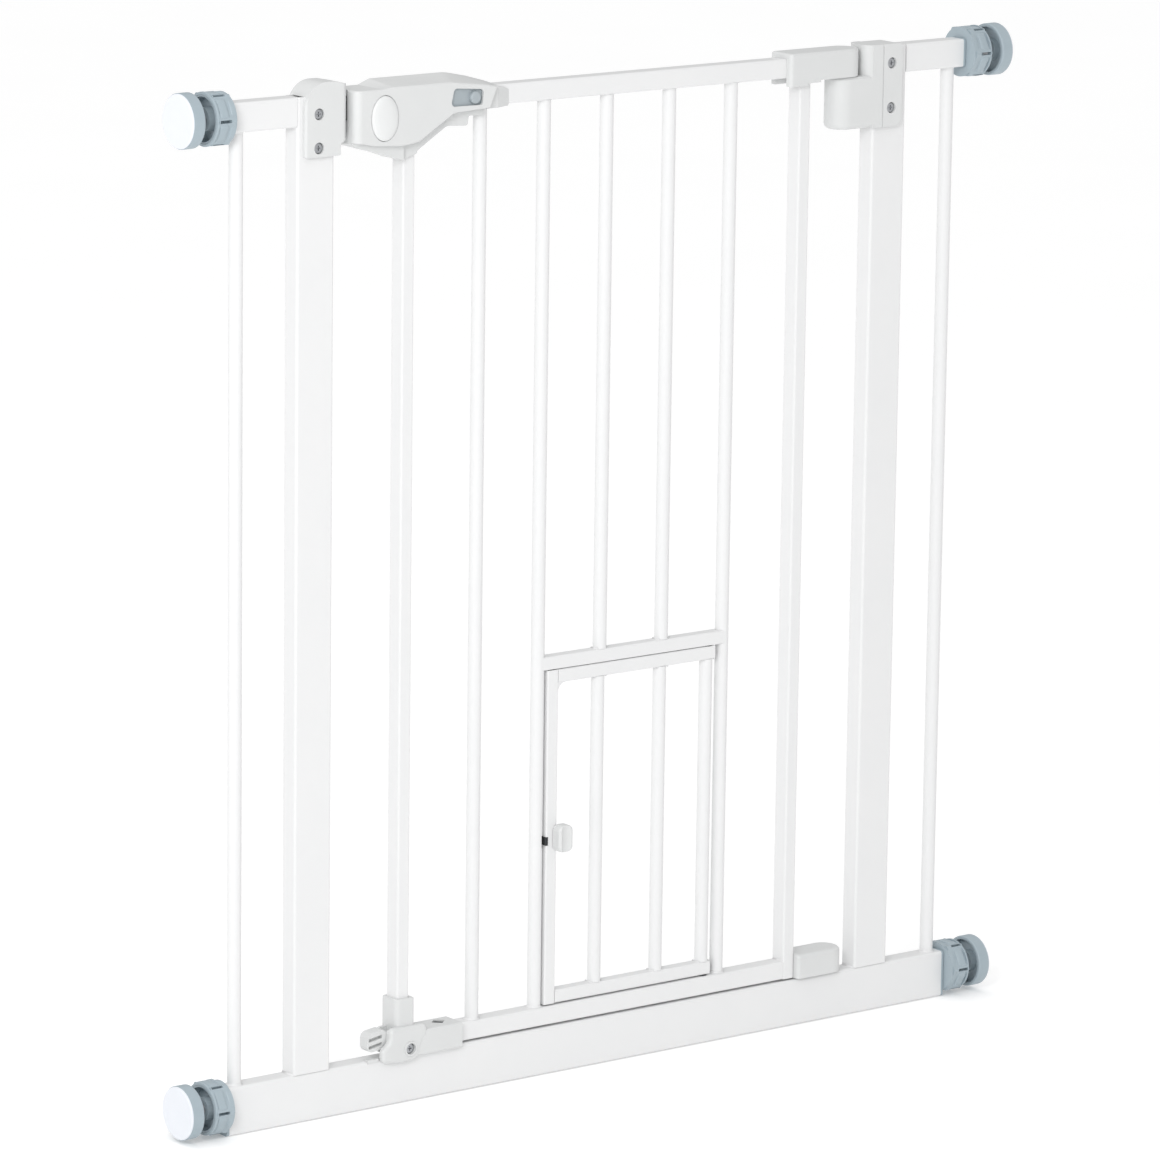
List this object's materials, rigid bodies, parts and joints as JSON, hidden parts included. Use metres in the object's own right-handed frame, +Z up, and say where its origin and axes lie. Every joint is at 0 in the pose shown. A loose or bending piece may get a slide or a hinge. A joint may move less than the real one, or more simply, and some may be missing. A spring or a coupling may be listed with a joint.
{
  "type": "pet gate",
  "caption": "Pressure-fit walk-through pet gate: tube frame, barred swing door with a top latch and a small barred pet door, held between walls by screw-out pads.",
  "frame": {"origin": "middle of the bottom rail's underside, in the frame's middle plane", "axes": "+X along the gate towards the door's hinge, -Y towards the side with the latch button, +Z up"},
  "size_m": [0.75, 0.0414, 0.76],
  "materials": {
    "powder_coat": "white powder coat, satin",
    "white_plastic": "moulded, fine satin",
    "grey_plastic": "moulded blue-grey, satin",
    "pad_rubber": "pale soft pad",
    "dark_plastic": "near-black, satin",
    "slider_plastic": "dark blue-grey, satin",
    "steel": "zinc plated"
  },
  "bodies": {
    "frame": {"bottom_rail": "powder_coat", "left_post": "powder_coat", "right_post": "powder_coat", "left_top_rail": "powder_coat", "right_top_rail": "powder_coat", "left_outer_bar": "powder_coat", "right_outer_bar": "powder_coat", "rail_end_bushes": "grey_plastic", "strike_block": "white_plastic", "strike_screws": "steel", "hinge_bracket": "white_plastic", "hinge_bracket_screws": "steel", "hinge_socket": "white_plastic", "stop_keeper": "white_plastic"},
    "door": {"door_top_rail": "powder_coat", "door_bottom_rail": "powder_coat", "latch_stile": "powder_coat", "hinge_stile": "powder_coat", "door_bars": "powder_coat", "pet_door_lintel": "powder_coat", "latch_front_cover": "white_plastic", "latch_rear_shell": "white_plastic", "latch_housing_screws": "steel", "button_spring": "steel", "top_hinge_cap": "white_plastic", "door_hinge_pins": "steel", "bottom_hinge_shoe": "white_plastic", "corner_sleeve": "white_plastic", "corner_screw": "steel", "release_tab_pin": "steel", "pet_hinge_washers": "dark_plastic"},
    "bolt": {"latch_bolt": "dark_plastic", "thumb_slider": "slider_plastic"},
    "button": {"latch_button": "white_plastic"},
    "tab": {"release_tab": "white_plastic"},
    "pet_door": {"pet_top_rail": "powder_coat", "pet_bottom_rail": "powder_coat", "pet_latch_stile": "powder_coat", "pet_hinge_stile": "powder_coat", "pet_door_bars": "powder_coat", "pet_hinge_pins": "steel"},
    "pet_latch": {"pet_latch_knob": "white_plastic", "pet_latch_bolt": "dark_plastic"},
    "top_left_nut": {"wheel_nut_top_left": "grey_plastic"},
    "top_left_spindle": {"spindle_top_left": "steel", "pad_cup_top_left": "grey_plastic", "pad_face_top_left": "pad_rubber"},
    "top_right_nut": {"wheel_nut_top_right": "grey_plastic"},
    "top_right_spindle": {"spindle_top_right": "steel", "pad_cup_top_right": "grey_plastic", "pad_face_top_right": "pad_rubber"},
    "bottom_left_nut": {"wheel_nut_bottom_left": "grey_plastic"},
    "bottom_left_spindle": {"spindle_bottom_left": "steel", "pad_cup_bottom_left": "grey_plastic", "pad_face_bottom_left": "pad_rubber"},
    "bottom_right_nut": {"wheel_nut_bottom_right": "grey_plastic"},
    "bottom_right_spindle": {"spindle_bottom_right": "steel", "pad_cup_bottom_right": "grey_plastic", "pad_face_bottom_right": "pad_rubber"}
  },
  "joints": [
    {"name": "door_swing", "type": "hinge", "parent": "frame", "child": "door", "pos_m": [0.222, 0, 0], "axis": [0, 0, 1], "range_deg": [0, 90]},
    {"name": "latch_slide", "type": "slide", "parent": "door", "child": "bolt", "axis": [-1, 0, 0], "range_m": [0, 0.012]},
    {"name": "latch_button_press", "type": "slide", "parent": "door", "child": "button", "axis": [0, 1, 0], "range_m": [0, 0.003], "stiffness_N_per_m": 400, "deforming": ["button_spring"]},
    {"name": "release_tab_lift", "type": "hinge", "parent": "door", "child": "tab", "pos_m": [-0.1926, 0, 0.05], "axis": [0, 1, 0], "range_deg": [0, 25]},
    {"name": "pet_door_swing", "type": "hinge", "parent": "door", "child": "pet_door", "pos_m": [0.102, 0, 0], "axis": [0, 0, 1], "range_deg": [-90, 90]},
    {"name": "pet_latch_slide", "type": "slide", "parent": "pet_door", "child": "pet_latch", "axis": [-1, 0, 0], "range_m": [0, 0.0045]},
    {"name": "top_left_nut_turn", "type": "hinge", "parent": "frame", "child": "top_left_nut", "pos_m": [-0.35, 0, 0.73935], "axis": [1, 0, 0], "range_deg": [-1200, 6000]},
    {"name": "top_left_spindle_travel", "type": "slide", "parent": "frame", "child": "top_left_spindle", "axis": [-1, 0, 0], "range_m": [-0.005, 0.025]},
    {"name": "top_right_nut_turn", "type": "hinge", "parent": "frame", "child": "top_right_nut", "pos_m": [0.35, 0, 0.73935], "axis": [-1, 0, 0], "range_deg": [-1200, 6000]},
    {"name": "top_right_spindle_travel", "type": "slide", "parent": "frame", "child": "top_right_spindle", "axis": [1, 0, 0], "range_m": [-0.005, 0.025]},
    {"name": "bottom_left_nut_turn", "type": "hinge", "parent": "frame", "child": "bottom_left_nut", "pos_m": [-0.35, 0, 0.022], "axis": [1, 0, 0], "range_deg": [-1200, 6000]},
    {"name": "bottom_left_spindle_travel", "type": "slide", "parent": "frame", "child": "bottom_left_spindle", "axis": [-1, 0, 0], "range_m": [-0.005, 0.025]},
    {"name": "bottom_right_nut_turn", "type": "hinge", "parent": "frame", "child": "bottom_right_nut", "pos_m": [0.35, 0, 0.022], "axis": [-1, 0, 0], "range_deg": [-1200, 6000]},
    {"name": "bottom_right_spindle_travel", "type": "slide", "parent": "frame", "child": "bottom_right_spindle", "axis": [1, 0, 0], "range_m": [-0.005, 0.025]}
  ],
  "couplings": [
    {"joint": "top_left_nut_turn", "follows": "top_left_spindle_travel", "rad_per_m": 4188.8},
    {"joint": "top_right_nut_turn", "follows": "top_right_spindle_travel", "rad_per_m": 4188.8},
    {"joint": "bottom_left_nut_turn", "follows": "bottom_left_spindle_travel", "rad_per_m": 4188.8},
    {"joint": "bottom_right_nut_turn", "follows": "bottom_right_spindle_travel", "rad_per_m": 4188.8}
  ]
}
